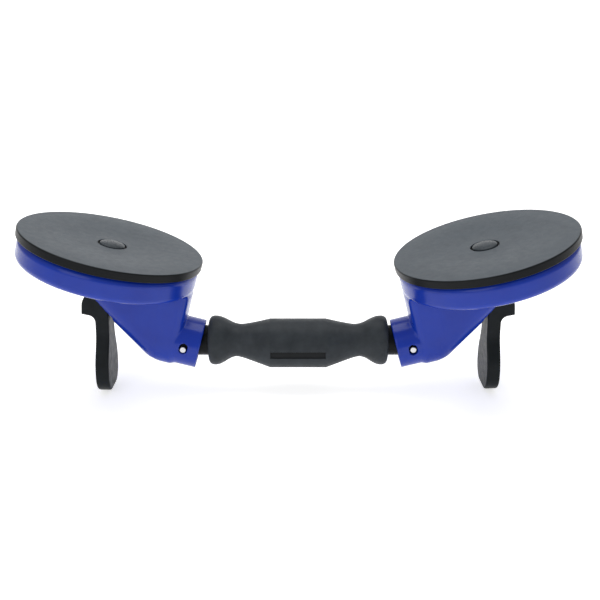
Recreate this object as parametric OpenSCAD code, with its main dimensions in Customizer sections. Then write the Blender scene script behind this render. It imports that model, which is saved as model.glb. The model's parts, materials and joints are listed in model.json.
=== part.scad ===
// Two-cup suction lifter: a moulded grip with a swivelling suction head on each end.
// Each head has a round rubber pad, a painted cast housing and a cam lever that pulls
// the middle of the pad down to make the vacuum.
//
// Frame: origin at the middle of the grip, +X along the grip, +Z towards the pads.
// Each head is drawn in its own frame: origin at its cross pin, +X outwards along the
// collar, +Z towards the face of the pad. place_head() puts it on the handle.

/* [Suction pads] */
// Diameter of the rubber pad
pad_d = 120; // [104:1:140]
// Thickness of the pad at its rim
pad_t = 5.5; // [4.5:0.5:7]
// Width of the flat sealing lip round the face
pad_lip_w = 7; // [5:0.5:10]
// Depth of the dish inside the lip
pad_dish = 2.2; // [1.5:0.1:2.6]
// How far the pad stands out past the housing
pad_overhang = 1.5; // [0.5:0.1:3]
// Diameter of the round button in the middle of the pad
button_d = 16.4; // [14:0.2:24]
// Height of the button's dome
button_dome = 1.9; // [1:0.1:2]

/* [Housings] */
// Height of the round pan under the pad
pan_h = 16; // [12:0.5:22]
// Width of the land that the pad's rim sits on
pan_land_w = 9; // [6:0.5:12]
// Thickness of the pan's floor
pan_floor_t = 4.5; // [3.5:0.5:6]
// Radius of the pan's lower outer edge
pan_edge_r = 3; // [1:0.5:4]
// Distance from the cross pin to the middle of the pad, along the collar
head_reach = 61; // [54:0.5:76]
// Height of the pad's face above the collar's axis
head_rise = 56; // [52:0.5:70]
// Outer diameter of the collar
collar_d = 33.6; // [32:0.1:44]
// Bore of the collar, round the ball
collar_bore_d = 27.2; // [24:0.1:28]
// Length of the collar from the cross pin to its mouth
collar_nose = 10.5; // [9:0.5:11]
// Depth of the collar's bore past the cross pin
collar_depth = 16; // [15:0.5:24]
// Width of the arm beside the collar
arm_w = 33.6; // [30:0.1:44]
// Width of the arm's outer end
arm_end_w = 25; // [24:0.5:30]
// Distance from the cross pin to where the arm's underside starts to rise
arm_knee = 19.5; // [12:0.5:21]
// Slope of the arm's underside in degrees
arm_slope = 32.3; // [30:0.1:34]
// Radius of the arm's lower edges
arm_edge_r = 13; // [3:0.5:14]

/* [Swivel joints] */
// Diameter of the cross pin
cross_pin_d = 4.2; // [3:0.1:5]
// Width of the pin's slot, along the collar
pin_slot_l = 5.4; // [5.2:0.1:7]
// Width of the pin's slot, round the collar
pin_slot_w = 7.3; // [7.3:0.1:9]
// Diameter of the spigot's neck
neck_d = 20.5; // [16:0.1:20.5]
// Tilt of each head as it stands, outer end up, in degrees
rest_tilt = 15; // [0:1:15]
// Roll of the left head about its collar as it stands, in degrees
left_roll = -3.4; // [-5:0.1:5]
// Roll of the right head about its collar as it stands, in degrees
right_roll = 0; // [-5:0.1:5]

/* [Handle] */
// Length of the grip
grip_l = 120.8; // [100:0.2:160]
// Diameter of the grip at its ends and at its barrel
grip_d = 33.7; // [30:0.1:40]
// Diameter of the grip's two waists
waist_d = 21.6; // [21:0.1:26]
// Length of the barrel in the middle of the grip
barrel_l = 38; // [24:0.5:60]
// How far the barrel hangs below the grip's axis
belly_drop = 2.2; // [0:0.1:3]
// Diameter of the steel tube inside the grip
tube_d = 16; // [14:0.1:17]
// Wall of the steel tube
tube_wall = 1.8; // [1.5:0.1:2.5]
// Distance from the grip's end to the cross pin
spigot_reach = 16.4; // [16.2:0.1:24]

/* [Cam levers] */
// Length of the lever from its pin to its tip
lever_l = 64; // [50:0.5:76]
// Thickness of the lever
lever_t = 9; // [7:0.5:10]
// Width of the lever between the arm's cheeks
lever_neck_w = 17.6; // [13:0.1:19]
// Width of the lever's paddle
lever_paddle_w = 30.5; // [28:0.5:36]
// Lean of the lever towards the handle in degrees
lever_lean = 13; // [0:0.2:15]
// How far the lever's middle line passes inside its pin
lever_offset = 1.5; // [0:0.1:3.5]
// Depth of the lever's pin below the pan
pivot_depth = 20.5; // [19:0.5:24]
// Distance from the lever's pin to the wear plate, pad released
cam_low = 7.6; // [6.5:0.1:8]
// How far the cam pulls the pad's middle down
cam_lift = 4; // [2:0.5:5]
// Turn of the lever from released to locked in degrees
cam_turn = 100; // [90:1:105]
// Length of the flat that the cam rests on when it is locked
cam_flat = 6; // [3:0.5:7]
// Diameter of the lever's pin
lever_pin_d = 4; // [3:0.1:5]

/* [Stud, plate and spring] */
// Diameter of the pull stud
stud_d = 8; // [6:0.1:9]
// Thickness of the stud's flattened eye
eye_t = 6; // [4:0.1:7]
// Diameter of the stud's threaded end
thread_d = 6; // [4:0.1:6]
// Diameter of the pull plate
pull_plate_d = 50; // [34:1:60]
// Thickness of the pull plate
pull_plate_t = 2; // [1.5:0.1:3]
// Wall of the guide bush
bush_wall = 2; // [1.5:0.1:2.5]
// Thickness of the wear plate
wear_plate_t = 1.5; // [1:0.1:2]
// Wire diameter of the return spring
wire_d = 1.6; // [1:0.1:1.8]
// Mean diameter of the return spring
spring_d = 20.6; // [20:0.1:22]
// Turns of the return spring
spring_turns = 4; // [3:0.5:4.5]

/* [Clearances] */
// Radial clearance of a pin or stud in its hole
pin_play = 0.05; // [0.02:0.01:0.1]
// Gap between the ball and the collar's bore
ball_play = 0.3; // [0.2:0.05:0.5]
// Gap on each side of a part that slides or swings between two walls
side_play = 0.3; // [0.2:0.05:0.6]

/* [Hidden] */
$fn = 64;
cut = 1;
arc_step = 10;

// Handle
grip_half = grip_l / 2;
joint_x = grip_half + spigot_reach;
shoulder_x = grip_half - 3.5;
plug_x = shoulder_x - 20;
spigot_pin_x = shoulder_x - 9;
spigot_pin_d = 3;
tube_bore_d = tube_d - 2 * tube_wall;
lip_back = 1.9;
lip_drop = 2.8;
flare_l = 12.5;
panel_l = 37;
panel_h = 4.6;
panel_depth = 0.7;
panel_angle = 6;

// Heights in a head, above the collar's axis
pad_base_z = head_rise - pad_t;
pan_base_z = pad_base_z - pan_h;
pan_floor_z = pan_base_z + pan_floor_t;
spring_seat_z = pan_base_z + 0.5;
pull_plate_z = pad_base_z - pull_plate_t;
pivot_z = pan_base_z - pivot_depth;
wear_face_z = pivot_z + cam_low;
slot_top_z = wear_face_z + wear_plate_t;
dish_z = head_rise - pad_dish;
button_seat_z = pad_base_z + 1.8;
button_top_z = dish_z + button_dome - 0.2;

// Radii in a head
pad_r = pad_d / 2;
pan_r = pad_r - pad_overhang;
cavity_r = pan_r - pan_land_w;
collar_r = collar_d / 2;
ball_r = collar_bore_d / 2 - ball_play;
stud_r = stud_d / 2;
eye_r = lever_pin_d / 2 + 3.2;
bush_r = stud_r + pin_play + bush_wall;
bush_flange_r = bush_r + 1.7;
spring_pocket_r = (spring_d + wire_d) / 2 + 0.8;
ring_w = 3;
ring_h = 3;
edge_round = 1;

// Arm and lever
arm_end_r = arm_end_w / 2;
arm_end_x = head_reach + 5;
arm_straight = 22;
cam_rate = cam_lift / cam_turn;
cam_heel = 5;
fork_depth = eye_r + 1.4;
fork_w = eye_t + 2 * side_play;
slot_w = lever_neck_w + 2 * (side_play + 0.25);
underside = tan(arm_slope);
lean_rate = tan(lever_lean);
lever_exit_x = (head_reach - lever_offset - lever_t / 2 / cos(lever_lean)
  - lean_rate * (pivot_z + collar_r + underside * arm_knee)) / (1 - underside * lean_rate);
slot_inner_x = min(head_reach - norm([cam_heel, cam_low]) - cam_lift / 2 + 0.5, lever_exit_x - side_play);
paddle_start = 19;
paddle_full = 46;
tip_r = 14;
tip_bevel = 2.5;
cross_pin_l = 2 * (collar_r - 0.4);

// Points of a round corner about a centre, from one angle to another
function arc(centre, r, from, to) =
  [for (i = [0:8]) let (a = from + (to - from) * i / 8) centre + r * [cos(a), sin(a)]];

// A smooth step from 0 to 1
function ease(t) = (1 - cos(180 * t)) / 2;

// Turns a head from its own frame to its place on the handle
module place_head(roll) {
  translate([joint_x, 0, 0]) rotate([0, -rest_tilt, 0]) rotate([roll, 0, 0]) children();
}

module on_right() {
  place_head(right_roll) children();
}

module on_left() {
  mirror([1, 0, 0]) place_head(left_roll) children();
}

// A round shape about the head's centre line, from points [radius, height]
module turned(points) {
  translate([head_reach, 0, 0]) rotate_extrude() polygon(points);
}

// A round bar or hole along the head's centre line
module centre_bar(r, from, to) {
  translate([head_reach, 0, from]) cylinder(r = r, h = to - from);
}

// A round bar or hole across the head, along Y
module cross_bar(x, z, r, length) {
  translate([x, length / 2, z]) rotate([90, 0, 0]) cylinder(r = r, h = length);
}

// ---- Handle ----

// Half of the grip's outline where it is true to the axis: waist, flare and rounded end
function spool_outline() = concat(
  [[0, 0], [0, waist_d / 2]],
  [for (i = [0:10]) let (t = i / 10)
    [grip_half - lip_back - 2 - flare_l * (1 - t), waist_d / 2 + (grip_d - waist_d) / 2 * pow(ease(t), 1.1)]],
  [[grip_half - lip_back, grip_d / 2 - 0.6], [grip_half, grip_d / 2 - lip_drop], [grip_half, 0]]
);

module spool() {
  for (side = [0, 1]) mirror([side, 0, 0])
    rotate([0, 90, 0]) rotate_extrude() polygon([for (p = spool_outline()) [p[1], p[0]]]);
}

// The barrel, straight in the middle and tapered to both waists
module barrel() {
  taper_end = grip_half - lip_back - flare_l - 4;
  end_r = waist_d / 2 - 1;
  translate([0, 0, -belly_drop]) rotate([0, 90, 0]) rotate_extrude()
    polygon([
      [0, -taper_end], [end_r, -taper_end], [grip_d / 2, -barrel_l / 2],
      [grip_d / 2, barrel_l / 2], [end_r, taper_end], [0, taper_end]
    ]);
}

module grip() {
  color("#232628") difference() {
    union() {
      spool();
      barrel();
    }
    translate([-grip_half - cut, 0, 0]) rotate([0, 90, 0])
      cylinder(r = tube_d / 2 + pin_play, h = grip_l + 2 * cut);
    for (side = [-1, 1]) translate([side * (shoulder_x + grip_half + cut) / 2, 0, 0]) rotate([0, 90, 0])
      cylinder(r = neck_d / 2 + pin_play, h = grip_half - shoulder_x + cut, center = true);
    translate([0, 0, -belly_drop]) rotate([-panel_angle, 0, 0])
      translate([-panel_l / 2, -grip_d / 2 - cut, -panel_h / 2]) cube([panel_l, panel_depth + cut, panel_h]);
  }
}

module core_tube() {
  color("silver") difference() {
    translate([-shoulder_x, 0, 0]) rotate([0, 90, 0]) cylinder(r = tube_d / 2, h = 2 * shoulder_x);
    translate([-shoulder_x - cut, 0, 0]) rotate([0, 90, 0])
      cylinder(r = tube_bore_d / 2, h = 2 * (shoulder_x + cut));
    for (side = [-1, 1]) cross_bar(side * spigot_pin_x, 0, spigot_pin_d / 2 + pin_play, tube_d + 2 * cut);
  }
}

// A ball end in the collar, a neck and a plug inside the core tube
module ball_spigot() {
  color("#1b1c1d") difference() {
    union() {
      intersection() {
        translate([joint_x, 0, 0]) sphere(r = ball_r);
        translate([joint_x - ball_r, -ball_r, -ball_r]) cube([ball_r + 9, 2 * ball_r, 2 * ball_r]);
      }
      translate([shoulder_x, 0, 0]) rotate([0, 90, 0]) cylinder(r = neck_d / 2, h = joint_x - shoulder_x);
      translate([plug_x, 0, 0]) rotate([0, 90, 0])
        cylinder(r = tube_bore_d / 2 - pin_play, h = shoulder_x - plug_x + cut);
    }
    cross_bar(joint_x, 0, cross_pin_d / 2 + pin_play, 2 * ball_r + 2 * cut);
    cross_bar(spigot_pin_x, 0, spigot_pin_d / 2 + pin_play, tube_d);
  }
}

module ball_spigot_right() {
  ball_spigot();
}

module ball_spigot_left() {
  mirror([1, 0, 0]) ball_spigot();
}

module spigot_pins() {
  color("silver") for (side = [-1, 1]) cross_bar(side * spigot_pin_x, 0, spigot_pin_d / 2, tube_d - 0.4);
}

module cross_pin_right() {
  color("gainsboro") cross_bar(joint_x, 0, cross_pin_d / 2, cross_pin_l);
}

module cross_pin_left() {
  color("gainsboro") cross_bar(-joint_x, 0, cross_pin_d / 2, cross_pin_l);
}

// ---- Housings ----

module pan() {
  turned(concat(
    [[0, pan_base_z]],
    arc([pan_r - pan_edge_r, pan_base_z + pan_edge_r], pan_edge_r, -90, 0),
    [[pan_r, pad_base_z], [cavity_r, pad_base_z], [cavity_r - 2, pan_floor_z], [0, pan_floor_z]]
  ));
}

// The arm's section, as wide as the arm, with round lower corners
module arm_section(height) {
  inner = arm_w / 2 - arm_edge_r;
  translate([-arm_w / 2, arm_edge_r]) square([arm_w, height - arm_edge_r]);
  translate([-inner, 0]) square([2 * inner, height]);
  for (side = [-1, 1]) translate([side * inner, arm_edge_r]) circle(r = arm_edge_r);
}

// The arm's outline from above: straight beside the collar, then narrower to a round end
module arm_plan() {
  polygon(concat(
    [[-cut, -arm_w / 2], [arm_straight, -arm_w / 2]],
    [for (a = [-80:arc_step:80]) [arm_end_x, 0] + arm_end_r * [cos(a), sin(a)]],
    [[arm_straight, arm_w / 2], [-cut, arm_w / 2]]
  ));
}

module arm() {
  rise = pan_base_z + cut;
  intersection() {
    translate([0, 0, -collar_r]) linear_extrude(rise + collar_r) arm_plan();
    centre_bar(pan_r, -collar_r - cut, rise + cut);
    translate([-cut, 0, -collar_r]) rotate([90, 0, 90])
      linear_extrude(arm_end_x + arm_end_r + 2 * cut) arm_section(rise + collar_r + cut);
    translate([arm_knee, 0, -collar_r]) rotate([0, -arm_slope, 0])
      translate([-2 * collar_r, 0, 0]) rotate([90, 0, 90])
        linear_extrude(2 * collar_r + head_reach + pad_d) arm_section(2 * head_rise);
  }
}

module collar() {
  translate([-collar_nose, 0, 0]) rotate([0, 90, 0]) cylinder(r = collar_r, h = collar_nose + arm_knee);
}

// The pin's slot, straight through both sides of the collar
module pin_slot() {
  end_r = pin_slot_l / 2;
  for (z = [-1, 1]) cross_bar(0, z * (pin_slot_w / 2 - end_r), end_r, collar_d + 2 * cut);
  translate([-end_r, -collar_r - cut, -(pin_slot_w / 2 - end_r)])
    cube([pin_slot_l, collar_d + 2 * cut, pin_slot_w - pin_slot_l]);
}

module head_casting() {
  color("#2a3fa8") difference() {
    union() {
      pan();
      arm();
      collar();
    }
    translate([-collar_nose - cut, 0, 0]) rotate([0, 90, 0])
      cylinder(r = collar_bore_d / 2, h = collar_nose + collar_depth + cut);
    pin_slot();
    centre_bar(spring_pocket_r, spring_seat_z, pan_floor_z + cut);
    centre_bar(bush_r + pin_play, slot_top_z - cut, spring_seat_z + cut);
    translate([slot_inner_x, -slot_w / 2, -collar_r])
      cube([pad_d, slot_w, slot_top_z + collar_r]);
  }
}

module head_casting_right() {
  on_right() head_casting();
}

module head_casting_left() {
  on_left() head_casting();
}

// ---- Inside a head ----

module guide_bush() {
  color("#b08d3c") difference() {
    union() {
      centre_bar(bush_r, slot_top_z, spring_seat_z);
      centre_bar(bush_flange_r, spring_seat_z, spring_seat_z + 1.5);
    }
    centre_bar(stud_r + pin_play, slot_top_z - cut, spring_seat_z + 1.5 + cut);
  }
}

module guide_bush_right() {
  on_right() guide_bush();
}

module guide_bush_left() {
  on_left() guide_bush();
}

// A steel plate that the cam bears on
module wear_plate() {
  inner_x = slot_inner_x + 0.4;
  color("silver") difference() {
    translate([inner_x, -lever_neck_w / 2, wear_face_z])
      cube([arm_end_x + arm_end_r - 3 - inner_x, lever_neck_w, wear_plate_t]);
    centre_bar(stud_r + side_play, wear_face_z - cut, slot_top_z + cut);
  }
}

module wear_plate_right() {
  on_right() wear_plate();
}

module wear_plate_left() {
  on_left() wear_plate();
}

// One ring of the wire's section at a share t of the spring's height
function wire_ring(t, height, sides) =
  let (a = 360 * spring_turns * t, along = wire_d / 2 + (height - wire_d) * t)
  [for (j = [0:sides - 1]) let (b = 360 * j / sides, r = (spring_d + wire_d * cos(b)) / 2)
    [r * cos(a), r * sin(a), along + wire_d / 2 * sin(b)]];

module return_spring() {
  sides = 8;
  steps = 20 * spring_turns;
  height = pull_plate_z - spring_seat_z;
  rings = [for (i = [0:steps]) each wire_ring(i / steps, height, sides)];
  walls = [for (i = [0:steps - 1], j = [0:sides - 1]) let (k = (j + 1) % sides)
    [i * sides + j, (i + 1) * sides + j, (i + 1) * sides + k, i * sides + k]];
  ends = [[for (j = [0:sides - 1]) j], [for (j = [sides - 1:-1:0]) steps * sides + j]];
  color("darkgray") translate([head_reach, 0, spring_seat_z]) polyhedron(rings, concat(ends, walls));
}

module return_spring_right() {
  on_right() return_spring();
}

module return_spring_left() {
  on_left() return_spring();
}

// ---- Pad and what clamps its middle ----

module rubber_pad() {
  lip_inner = pad_r - pad_lip_w;
  recess_r = button_d / 2 + side_play;
  ring_r = cavity_r - 0.3;
  dish_start = recess_r + 4;
  color("#34383b") turned(concat(
    [[thread_d / 2 + side_play, pad_base_z], [ring_r - ring_w, pad_base_z],
     [ring_r - ring_w, pad_base_z - ring_h], [ring_r - 0.4, pad_base_z - ring_h], [ring_r, pad_base_z],
     [pad_r - 0.6, pad_base_z], [pad_r, pad_base_z + 0.6]],
    arc([pad_r - edge_round, head_rise - edge_round], edge_round, 0, 90),
    [for (i = [0:8]) let (t = i / 8)
      [lip_inner + (dish_start - lip_inner) * t, head_rise - pad_dish * ease(t)]],
    [[recess_r, dish_z], [recess_r, button_seat_z], [thread_d / 2 + side_play, button_seat_z]]
  ));
}

module rubber_pad_right() {
  on_right() rubber_pad();
}

module rubber_pad_left() {
  on_left() rubber_pad();
}

// The domed cap nut in the middle of the pad
module pad_button() {
  dome_r = (pow(button_d / 2, 2) + pow(button_dome, 2)) / (2 * button_dome);
  color("#202324") difference() {
    intersection() {
      centre_bar(button_d / 2, button_seat_z, button_top_z);
      translate([head_reach, 0, button_top_z - dome_r]) sphere(r = dome_r);
    }
    centre_bar(thread_d / 2 + pin_play, button_seat_z - cut, dish_z);
  }
}

module pad_button_right() {
  on_right() pad_button();
}

module pad_button_left() {
  on_left() pad_button();
}

module pull_plate() {
  color("silver") difference() {
    centre_bar(pull_plate_d / 2, pull_plate_z, pad_base_z);
    centre_bar(thread_d / 2 + pin_play, pull_plate_z - cut, pad_base_z + cut);
  }
}

module pull_plate_right() {
  on_right() pull_plate();
}

module pull_plate_left() {
  on_left() pull_plate();
}

// The stud: a round shank with two flats and an eye below, a threaded end above
module pull_stud() {
  flat_top_z = slot_top_z + cam_lift;
  color("silver") difference() {
    union() {
      centre_bar(stud_r, pivot_z, pull_plate_z);
      centre_bar(thread_d / 2, pull_plate_z - cut, dish_z - 0.2);
      cross_bar(head_reach, pivot_z, eye_r, eye_t);
    }
    for (side = [0, 1]) mirror([0, side, 0])
      translate([head_reach - stud_r - cut, eye_t / 2, pivot_z - eye_r])
        cube([2 * (stud_r + cut), stud_r, flat_top_z - pivot_z + eye_r]);
    cross_bar(head_reach, pivot_z, lever_pin_d / 2 + pin_play, eye_t + 2 * cut);
  }
}

module pull_stud_right() {
  on_right() pull_stud();
}

module pull_stud_left() {
  on_left() pull_stud();
}

// ---- Cam levers, drawn about the lever's pin ----

// A point of the cam whose distance from the pin rises evenly with the turn
function cam_point(a) =
  let (reach = cam_low + cam_rate * a, slide = cam_rate * 180 / PI)
  [reach * sin(a) + slide * cos(a), reach * cos(a) - slide * sin(a)];

// A point of the lever's stem, so far below the pin and so far to one side of its middle
function stem_point(along, across) =
  [-lever_offset, 0] + along * [-sin(lever_lean), -cos(lever_lean)]
  + across * [cos(lever_lean), -sin(lever_lean)];

// The lever from the side: cam, foot and stem. The crook's arc meets the foot's lower face
// and the stem, so its place along the stem follows from the foot's end.
module lever_side() {
  half_t = lever_t / 2;
  foot_end = cam_point(cam_turn) + cam_flat * [cos(cam_turn), -sin(cam_turn)];
  crook_r = 5;
  foot_slope = 10;
  up = [sin(lever_lean - foot_slope), cos(lever_lean - foot_slope)];
  beside = stem_point(0, half_t + crook_r);
  along = ((foot_end - beside) * up - crook_r) / ((stem_point(1, 0) - stem_point(0, 0)) * up);
  crook = stem_point(along, half_t + crook_r);
  polygon(concat(
    [[-cam_heel - 1, cam_low - 1], [-cam_heel, cam_low]],
    [for (a = [0:5:cam_turn - 1]) cam_point(a)],
    [cam_point(cam_turn), foot_end],
    [for (a = [90 + foot_slope:16:180]) crook + crook_r * [cos(a - lever_lean), sin(a - lever_lean)]],
    [stem_point(lever_l - tip_bevel, half_t), stem_point(lever_l, half_t - tip_bevel),
     stem_point(lever_l, tip_bevel - half_t), stem_point(lever_l - tip_bevel, -half_t),
     stem_point(2, -half_t)]
  ));
}

// Half the lever's width at a distance below the pin
function lever_half_w(z) =
  z < paddle_start ? lever_neck_w / 2
  : z > paddle_full ? lever_paddle_w / 2
  : (lever_neck_w + (lever_paddle_w - lever_neck_w) * ease((z - paddle_start) / (paddle_full - paddle_start))) / 2;

// The lever from the handle's side: a narrow fork, a wide paddle and a round tip
function lever_edge() = concat(
  [[lever_neck_w / 2, 3 * cam_low]],
  [for (i = [0:8]) let (z = paddle_start + (paddle_full - paddle_start) * i / 8) [lever_half_w(z), -z]],
  [for (a = [0:-15:-75]) [lever_paddle_w / 2 - tip_r + tip_r * cos(a), tip_r - lever_l + tip_r * sin(a)]],
  [[lever_paddle_w / 2 - tip_r, -lever_l - cut]]
);

module lever_front() {
  edge = lever_edge();
  polygon(concat(edge, [for (i = [len(edge) - 1:-1:0]) [-edge[i][0], edge[i][1]]]));
}

module cam_lever() {
  color("#26292b") difference() {
    translate([head_reach, 0, pivot_z]) intersection() {
      translate([0, lever_paddle_w / 2, 0]) rotate([90, 0, 0]) linear_extrude(lever_paddle_w) lever_side();
      rotate([0, lever_lean, 0]) translate([-lever_l, 0, 0]) rotate([90, 0, 90])
        linear_extrude(2 * lever_l) lever_front();
    }
    translate([head_reach - lever_l / 2, -fork_w / 2, pivot_z - fork_depth])
      cube([lever_l, fork_w, fork_depth + 2 * cam_low]);
    cross_bar(head_reach, pivot_z, lever_pin_d / 2 + pin_play, lever_neck_w + 2 * cut);
  }
}

module cam_lever_right() {
  on_right() cam_lever();
}

module cam_lever_left() {
  on_left() cam_lever();
}

module lever_pin() {
  color("silver") cross_bar(head_reach, pivot_z, lever_pin_d / 2, lever_neck_w - 0.4);
}

module lever_pin_right() {
  on_right() lever_pin();
}

module lever_pin_left() {
  on_left() lever_pin();
}

grip();
core_tube();
spigot_pins();
ball_spigot_left();
ball_spigot_right();
cross_pin_left();
cross_pin_right();
head_casting_left();
head_casting_right();
guide_bush_left();
guide_bush_right();
wear_plate_left();
wear_plate_right();
return_spring_left();
return_spring_right();
rubber_pad_left();
rubber_pad_right();
pull_plate_left();
pull_plate_right();
pull_stud_left();
pull_stud_right();
pad_button_left();
pad_button_right();
cam_lever_left();
cam_lever_right();
lever_pin_left();
lever_pin_right();
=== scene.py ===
"""Visual model of a two-cup suction lifter, laid out as an add-on and run as a script.

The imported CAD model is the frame. Each head's own frame comes from its joints: origin at the
cross pin, x outwards along the collar, y across, z towards the pad's face. Shapes are worked
out there in millimetres and placed in the row frame in metres.
"""
import json
import math

import bpy
import numpy as np
from bpy.props import FloatProperty, FloatVectorProperty, IntProperty, PointerProperty
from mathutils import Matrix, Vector


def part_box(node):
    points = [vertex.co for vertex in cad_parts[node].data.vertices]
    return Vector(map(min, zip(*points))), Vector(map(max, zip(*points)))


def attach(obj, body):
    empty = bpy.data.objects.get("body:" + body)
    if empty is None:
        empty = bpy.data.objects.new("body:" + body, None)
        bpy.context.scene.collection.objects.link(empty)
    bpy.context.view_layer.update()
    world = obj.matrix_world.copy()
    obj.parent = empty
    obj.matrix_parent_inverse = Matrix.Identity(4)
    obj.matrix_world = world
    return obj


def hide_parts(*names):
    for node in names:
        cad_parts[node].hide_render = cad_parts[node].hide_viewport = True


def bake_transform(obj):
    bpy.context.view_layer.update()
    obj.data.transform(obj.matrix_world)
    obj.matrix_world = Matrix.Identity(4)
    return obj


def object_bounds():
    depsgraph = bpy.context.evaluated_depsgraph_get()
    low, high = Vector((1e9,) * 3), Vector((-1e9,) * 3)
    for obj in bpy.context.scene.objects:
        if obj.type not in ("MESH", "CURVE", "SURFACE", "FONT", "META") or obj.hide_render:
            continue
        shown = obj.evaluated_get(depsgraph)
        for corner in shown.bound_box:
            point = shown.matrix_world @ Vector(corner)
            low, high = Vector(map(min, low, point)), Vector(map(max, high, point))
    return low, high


bl_info = {
    "name": "Suction lifter",
    "version": (1, 0, 0),
    "blender": (4, 5, 0),
    "location": "View3D > Sidebar > Lifter",
    "description": "Builds the pads, castings, levers, grip and stage of a two-cup suction lifter",
    "category": "Add Mesh",
}

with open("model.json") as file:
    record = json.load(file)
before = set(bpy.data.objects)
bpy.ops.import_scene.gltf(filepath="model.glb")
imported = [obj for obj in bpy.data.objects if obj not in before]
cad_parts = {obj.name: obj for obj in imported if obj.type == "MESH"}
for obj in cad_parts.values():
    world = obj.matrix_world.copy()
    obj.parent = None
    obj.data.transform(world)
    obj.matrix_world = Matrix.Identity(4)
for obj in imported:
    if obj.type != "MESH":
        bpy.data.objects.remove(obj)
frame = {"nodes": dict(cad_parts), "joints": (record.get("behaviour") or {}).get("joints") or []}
CAD_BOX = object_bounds()
JOINTS = {joint["name"]: joint for joint in frame["joints"]}
SIDES = ("left", "right")
MM = 0.001


# ---------------------------------------------------------------- head frames

class HeadFrame:
    """One head's own frame, in millimetres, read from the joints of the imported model."""

    def __init__(self, side):
        sign = 1 if side == "right" else -1
        self.side = side
        self.origin = np.array(JOINTS[f"tilt_{side}"]["pos_m"]) / MM
        self.axes = np.array([
            sign * np.array(JOINTS[f"roll_{side}"]["axis"]),
            -sign * np.array(JOINTS[f"lever_turn_{side}"]["axis"]),
            -np.array(JOINTS[f"plunger_slide_{side}"]["axis"]),
        ])
        self.pivot = self.local(np.array(JOINTS[f"lever_turn_{side}"]["pos_m"]) / MM)

    def place(self, points):
        """Points of this head's frame as points of the row frame, in metres."""
        return (self.origin + np.asarray(points) @ self.axes) * MM

    def local(self, points):
        """Points of the row frame, in millimetres, as points of this head's frame."""
        return (np.asarray(points) - self.origin) @ self.axes.T

    def node_box(self, node):
        """Lowest and highest corner of one of this head's CAD nodes, in its own frame."""
        mesh = frame["nodes"][f"{node}_{self.side}"].data
        points = np.empty(3 * len(mesh.vertices), np.float32)
        mesh.vertices.foreach_get("co", points)
        points = self.local(points.reshape(-1, 3) / MM)
        return points.min(0), points.max(0)


HEADS = {side: HeadFrame(side) for side in SIDES}
PAD_LOW, PAD_HIGH = HEADS["right"].node_box("rubber_pad")
CAST_LOW, CAST_HIGH = HEADS["right"].node_box("head_casting")
BUTTON_LOW, BUTTON_HIGH = HEADS["right"].node_box("pad_button")
LEVER_LOW, LEVER_HIGH = HEADS["right"].node_box("cam_lever")
PLATE_LOW, PLATE_HIGH = HEADS["right"].node_box("wear_plate")
PULL_LOW, PULL_HIGH = HEADS["right"].node_box("pull_plate")
GRIP_LOW, GRIP_HIGH = (np.array(corner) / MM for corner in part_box("grip"))
PIN_LOW, PIN_HIGH = (np.array(corner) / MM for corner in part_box("cross_pin_right"))
SPRING_LOW = HEADS["right"].node_box("return_spring")[0][2]
HEAD_X = float(HEADS["right"].pivot[0])
PIVOT_Z = float(HEADS["right"].pivot[2])
RING_DEPTH = 3  # of the pads' locating rings
CAM_GAP = 0.08  # between a released cam and its wear plate
BORE_DEPTH = 3.4  # of the holes in the grip's ends
SHARP = math.radians(35)  # edges that turn by more than this stay sharp


# ---------------------------------------------------------------- properties

def length(name, description, default):
    """A length property whose default is given in millimetres and stored in metres."""
    return FloatProperty(name=name, description=description, default=float(default) * MM,
                         unit="LENGTH", precision=5)


def degrees(name, description, default):
    """An angle property whose default is given in degrees and stored in radians."""
    return FloatProperty(name=name, description=description, default=math.radians(default), subtype="ANGLE")


def colour(name, description, default):
    """A linear colour property."""
    return FloatVectorProperty(name=name, description=description, default=default,
                               subtype="COLOR", min=0, max=1)


class PadSizes(bpy.types.PropertyGroup):
    """Sizes of the rubber pads, their buttons and the return springs."""
    radius: length("Radius", "Radius of the rubber pad", PAD_HIGH[0] - HEAD_X)
    face: length("Face height", "Height of the pad's face above the collar's axis", PAD_HIGH[2])
    ring: length("Ring depth", "Depth of the locating ring under the pad", RING_DEPTH)
    ring_width: length("Ring width", "Width of the locating ring", 3)
    rim: length("Rim thickness", "Thickness of the pad at its rim", PAD_HIGH[2] - PAD_LOW[2] - RING_DEPTH)
    lip: length("Lip width", "Width of the flat sealing lip", 6.2)
    dish: length("Dish depth", "Depth of the dish inside the lip", 2.2)
    dish_flat: length("Dish flat", "Width of the flat ring between the button's groove and the dish", 4)
    groove: length("Button groove", "Width of the groove round the button", 1.2)
    dome: length("Button dome", "Height of the button's dome", 1.9)
    hole: length("Stud hole", "Radius of the hole for the stud", 3.3)
    coil: length("Spring radius", "Radius of the return spring, to the middle of its wire", 10.3)
    wire: length("Spring wire", "Radius of the return spring's wire", 0.75)
    turns: IntProperty(name="Spring turns", description="Turns of the return spring", default=4)
    clamped: length("Clamped radius", "Radius of the pad that its pull plate holds", PULL_HIGH[0] - HEAD_X)


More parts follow.
